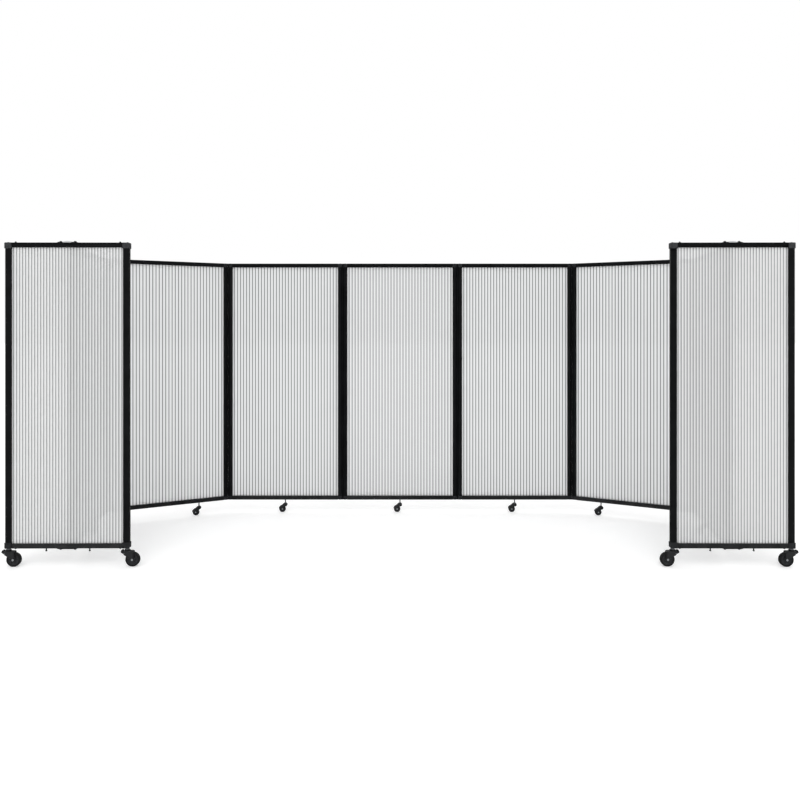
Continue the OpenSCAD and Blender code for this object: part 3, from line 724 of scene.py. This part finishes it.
for name, side in sides.items():
    place, body, node = endPlace(side), f"end_{name}", f"end_{name}_fittings"
    low, high = row["endGap"], row["endTop"]
    frameBars(body, place, low + row["endRailHigh"])
    blocks, straps = [], []
    for solid in solidsOf(node, place):
        near, far = reach(solid)
        wide, tall = far.x - near.x, far.z - near.z
        if min(wide, tall) > fittingSize["blockOver"]:
            for face in solid.faces:
                # the upper blocks take the paler copy of the nylon, which is painted
                # light
                face.material_index = int(near.z > high / 2)
            blocks.append(solid)
        elif wide > fittingSize["strapOver"]:
            straps.append(solid)
        else:
            solid.free()
    finishPiece(f"{body}_corner_blocks", refined(blocks, mouldEdge["blocks"]), place,
                body, greyNylon, node, second=upperBlockLitNylon)
    finishPiece(f"{body}_hinge_straps", refined(straps, mouldEdge["straps"]), place,
                body, blackCoatedSteel, node)
    out, bolts = fittingSize["strapThick"] + row["run"], []
    for x in (-row["boltSpan"] / 2, row["boltSpan"] / 2):
        bolts += upAndDown(hexBolt, low - out, high + out, x)
    finishPiece(f"{body}_bracket_bolts", gather(bolts), place, body,
                blackCoatedSteel, node)
    front = -row["endPostDeep"] / 2 - coverSize["apronOut"]
    cover = [moved(bowedCover(), z=high + out),
             moved(coverApron(), 0, front, high + coverSize["apronUp"], tilt=90)]
    finishPiece(f"{body}_bracket_cover", gather(cover), place, body, paleGreyStrip,
                node)
    screws = endScrews(-1, low, high) + endScrews(1, low, high)
    finishPiece(f"{body}_screws", gather(screws), place, body, blackCoatedSteel,
                node)
    studs, feet = [], []
    for x in (-row["studX"], row["studX"]):
        thread, foot, nut = [moved(part, x, 0, low) for part in stopStud()]
        studs += [thread, nut]
        feet.append(foot)
    finishPiece(f"{body}_stop_studs", gather(studs), place, body, blackCoatedSteel,
                node)
    finishPiece(f"{body}_stud_feet", gather(feet), place, body, blackPolypropylene,
                node)
    # the pins stand in the wall's own frame, which is lower than the end frame
    drop, thick = row["endGap"] - row["wallGap"], row["plateThick"]
    pins = upAndDown(pivotPin, low - drop + thick, high - drop - thick,
                     y=row["endReach"])
    finishPiece(f"{body}_pivot_pins", gather(pins), place, body, blackCoatedSteel,
                node)

print("small casters")
smallSize = {"wheelR": 23.5, "wide": 15, "trail": 21, "tyre": 6, "shoulder": 2.7,
             "stemR": 4.2, "stemLow": 48.2, "stemTop": 105.8, "collarR": 6,
             "collarLow": 67.6, "collarHigh": 2, "collarEdge": 0.3, "axleR": 3,
             "axleLong": 23, "headR": 4.6, "headHigh": 1.4}


def tyreRing(size):
    # soft tread with rounded shoulders
    out, half, bend = size["wheelR"], size["wide"] / 2, size["shoulder"]
    arc = [(out - bend + bend * math.sin(a), half - bend + bend * math.cos(a))
           for a in (math.radians(d) for d in (0, 22, 45, 68, 90))]
    upper = [(out - size["tyre"], half)] + arc
    return turned(upper + [(r, -z) for r, z in reversed(upper)], 96, closed=True)


def onAxle(bm, size):
    # from its own axis along Z to the axle across the caster
    return moved(bm, size["trail"], 0, size["wheelR"], tilt=90)


def stemCollar(size):
    r, wide, edge = size["stemR"], size["collarR"], size["collarEdge"]
    low, high = size["collarLow"], size["collarLow"] + size["collarHigh"]
    return turned(((r, low), (wide - edge, low), (wide, low + edge), (wide, high - edge),
                   (wide - edge, high), (r, high)), 32, closed=True)


def rivetedAxle(size):
    # a plain axle with a low riveted head on either side of the fork
    r, head, half = size["axleR"], size["headR"], size["axleLong"] / 2
    low, high = half + row["run"], half + size["headHigh"]
    upper = [(r, low), (head, low), (head, low + 0.4), (head - 1.2, high - 0.2),
             (0, high)]
    return turned([(x, -z) for x, z in reversed(upper)] + upper, 32)


for n in range(1, 8):
    place, size = smallPlace(n), smallSize
    body, wheel, fork = f"small_caster_{n}", f"small_wheel_{n}", f"small_fork_{n}"
    finishPiece(f"{body}_fork", refined([bulkiest(fork, place)], mouldEdge["smallFork"]),
                place, body, blackPolypropylene, fork)
    stem = rod(size["stemR"], size["stemLow"], size["stemTop"], highEdge=1)
    finishPiece(f"{body}_steel", gather([stem, stemCollar(size)]), place, body,
                dullZincSteel, fork)
    finishPiece(f"{body}_axle", onAxle(rivetedAxle(size), size), place, body,
                zincPlatedSteel, fork)
    finishPiece(f"{wheel}_tyre", onAxle(tyreRing(size), size), place, wheel,
                blackTreadRubber, wheel)
    finishPiece(f"{wheel}_core", refined([lowest(wheel, place)], mouldEdge["core"]),
                place, wheel, greyWheelCore, wheel)

print("large casters")
largeSize = {"wheelR": 40, "wide": 24, "trail": 31, "tyre": 9, "shoulder": 4,
             "stemR": 5, "stemDown": 3.8, "stemUp": 27, "crown": 88, "race": 92,
             "cupR": 16.5, "rimR": 17.5, "topR": 14, "raceHigh": 4, "neckR": 11,
             "neckPlay": 0.4, "axleR": 4, "nutR": 6.5, "nutHigh": 1.6, "cheekOut": 16,
             "webIn": 8, "webOut": 24, "webThick": 1.2, "pedalX": -15, "pedalZ": 74,
             "pedalPinR": 2.5, "padWide": 23, "padEdge": 0.4}


def ballRace(size):
    # a pressed cup on the fork's crown, rolled at its rim
    hole, low, mid = size["stemR"] + row["run"], size["crown"] + row["run"], size["race"]
    cup, rim, top, high = size["cupR"], size["rimR"], size["topR"], mid + size["raceHigh"]
    return turned(((hole, low), (cup - 0.4, low), (cup, low + 0.4),
                   (cup + 0.6, mid - 1.2), (cup + 0.2, mid - 0.9),
                   (cup + 0.2, mid - 0.3), (rim, mid), (rim - 0.2, mid + 0.8),
                   (top + 0.4, high - 0.4), (top, high), (hole, high)), 64, closed=True)


def neckAndStem(size):
    # the neck stands under the end frame, and the stem runs up into its post
    hole, r = size["stemR"] + row["run"], size["neckR"]
    low, high = size["race"] + size["raceHigh"], row["endGap"] - size["neckPlay"]
    neck = turned(((hole, low), (r - 0.3, low), (r, low + 0.3), (r, high - 0.4),
                   (r - 0.4, high), (hole, high)), 64, closed=True)
    stem = rod(size["stemR"], size["crown"] - size["stemDown"],
               row["endGap"] + size["stemUp"], highEdge=1)
    return gather([neck, stem])


def axleAndPin(size):
    # the brake pedal's pin, and the wheel's axle with a hexagon at either end
    half, out = size["cheekOut"] + 0.3, size["cheekOut"] + row["run"]
    pin = rod(size["pedalPinR"], -half, half, 0.3, 0.3, 24)
    moved(pin, size["pedalX"], 0, size["pedalZ"], tilt=90)
    half = size["cheekOut"] + 1.5
    axle = [rod(size["axleR"], -half, half)]
    axle += upAndDown(lambda: hexHead(size["nutR"], size["nutHigh"]), -out, out)
    return gather([pin] + [onAxle(part, size) for part in axle])


def webbedCore(core, size):
    # a thin web in the middle of the core shuts the bottoms of its holes
    half = size["webThick"] / 2
    web = turned(((size["webIn"], -half), (size["webOut"], -half),
                  (size["webOut"], half), (size["webIn"], half)), 48, closed=True)
    return gather([refined([core], mouldEdge["core"]), onAxle(web, size)])


def treadPad(size):
    # thick soft pad on the tip of a brake pedal, with two grooves across it for the shoe
    outline = ((-18.8, 9.55), (-14, 9.55), (-8.5, 7.8), (-7.6, 13), (-8.9, 18.2),
               (-10.2, 18.9), (-10.8, 18), (-12, 18.2), (-12.6, 19.3), (-14.2, 19.4),
               (-14.7, 18.4), (-15.8, 18.2), (-16.3, 18.8), (-17.4, 17.6), (-18.8, 13))
    pad = softened(slab(outline, -size["padWide"] / 2, size["padWide"] / 2),
                   size["padEdge"])
    return moved(pad, size["pedalX"], 0, size["pedalZ"], tilt=90)


for n in range(1, 5):
    place, size, brake = largePlace(n), largeSize, f"brake_{n}"
    body, wheel, fork = f"large_caster_{n}", f"large_wheel_{n}", f"large_fork_{n}"
    finishPiece(f"{body}_fork", refined([bulkiest(fork, place)], mouldEdge["largeFork"]),
                place, body, blackPolypropylene, fork)
    finishPiece(f"{body}_axle", axleAndPin(size), place, body, zincPlatedSteel,
                fork)
    finishPiece(f"{body}_stem", neckAndStem(size), place, body, dullZincSteel,
                fork)
    finishPiece(f"{body}_ball_race", ballRace(size), place, body, blackCoatedSteel,
                fork)
    finishPiece(f"{wheel}_tyre", onAxle(tyreRing(size), size), place, wheel,
                blackTreadRubber, wheel)
    finishPiece(f"{wheel}_core", webbedCore(lowest(wheel, place), size), place, wheel,
                greyWheelCore, wheel)
    finishPiece(f"{brake}_pedal", refined(solidsOf(brake, place), mouldEdge["pedal"]),
                place, brake, blackPolypropylene, brake)
    finishPiece(f"{brake}_tread_pad", treadPad(size), place, brake, blackTreadRubber,
                brake)

print("floor, light and camera")
stageSize = {"floorHalf": 60, "floorTone": "#f6f6f6", "floorLift": 0.27,
             "skyStrength": 0.95, "sunStrength": 0.5, "sunSoft": 30, "sunTilt": 48,
             "sunTurn": -6}
viewSize = {"sensor": 36, "lens": 33.07, "shiftDown": 0.0896, "back": 4.76,
            "eyeHigh": 1.343, "farClip": 200}


def paleFloor():
    bm = bmesh.new()
    bmesh.ops.create_grid(bm, x_segments=1, y_segments=1, size=stageSize["floorHalf"])
    mesh = bpy.data.meshes.new("floor")
    bm.to_mesh(mesh)
    bm.free()
    finish, tree = newFinish("paleStudioFloor")
    here = addNode(tree, "TexCoord").outputs["Object"]
    mottle = addNode(tree, "TexNoise", {"Scale": 3.0}, {"Vector": here})
    gloss = addNode(tree, "MapRange", {"To Min": 0.85, "To Max": 0.95},
                    {"Value": mottle.outputs["Fac"]})
    skin = addNode(tree, "BsdfPrincipled", {"Base Color": srgb(stageSize["floorTone"]),
                                            "Specular IOR Level": 0.1},
                   {"Roughness": gloss.outputs[0]})
    # the floor reads as white to the camera, and still keeps the object's shadow
    ray = addNode(tree, "LightPath")
    seen = addNode(tree, "Math", {1: stageSize["floorLift"]},
                   {0: ray.outputs["Is Camera Ray"]}, operation="MULTIPLY")
    lift = addNode(tree, "Emission", links={"Strength": seen.outputs[0]})
    both = addNode(tree, "AddShader", links={0: skin.outputs["BSDF"],
                                             1: lift.outputs["Emission"]})
    addNode(tree, "OutputMaterial", links={"Surface": both.outputs["Shader"]})
    mesh.materials.append(finish)
    floor = bpy.data.objects.new("floor", mesh)
    bpy.context.scene.collection.objects.link(floor)


def paleSky():
    world = bpy.data.worlds.new("paleStudio")
    bpy.context.scene.world = world
    world.use_nodes = True
    tree = world.node_tree
    tree.nodes.clear()
    ray = addNode(tree, "LightPath")
    seen = addNode(tree, "Math", links={0: ray.outputs["Is Camera Ray"],
                                        1: ray.outputs["Is Glossy Ray"]},
                   operation="MAXIMUM")
    seen = addNode(tree, "Math", links={0: seen.outputs[0],
                                        1: ray.outputs["Is Transmission Ray"]},
                   operation="MAXIMUM")
    lit = addNode(tree, "Background", {"Strength": stageSize["skyStrength"]})
    shown = addNode(tree, "Background", {"Strength": 1.0})
    for node in (lit, shown):
        node.inputs["Color"].default_value = (1, 1, 1, 1)
    mix = addNode(tree, "MixShader", links={0: seen.outputs[0], 1: lit.outputs[0],
                                            2: shown.outputs[0]})
    addNode(tree, "OutputWorld", links={"Surface": mix.outputs[0]})


def softSun():
    lamp = bpy.data.lights.new("softKey", "SUN")
    lamp.energy = stageSize["sunStrength"]
    lamp.angle = math.radians(stageSize["sunSoft"])
    key = bpy.data.objects.new("softKey", lamp)
    key.rotation_euler = (math.radians(stageSize["sunTilt"]), 0,
                          math.radians(stageSize["sunTurn"]))
    bpy.context.scene.collection.objects.link(key)


def viewerCamera():
    # level, on the middle of the row, with a small shift down as in the photograph
    data = bpy.data.cameras.new("viewer")
    data.sensor_width = viewSize["sensor"]
    data.lens = viewSize["lens"]
    data.shift_y = -viewSize["shiftDown"]
    data.clip_end = viewSize["farClip"]
    camera = bpy.data.objects.new("viewer", data)
    camera.location = (0, -viewSize["back"], viewSize["eyeHigh"])
    camera.rotation_euler = (math.radians(90), 0, 0)
    bpy.context.scene.collection.objects.link(camera)
    bpy.context.scene.camera = camera


paleFloor()
paleSky()
softSun()
viewerCamera()
bpy.context.scene.view_settings.view_transform = "Standard"
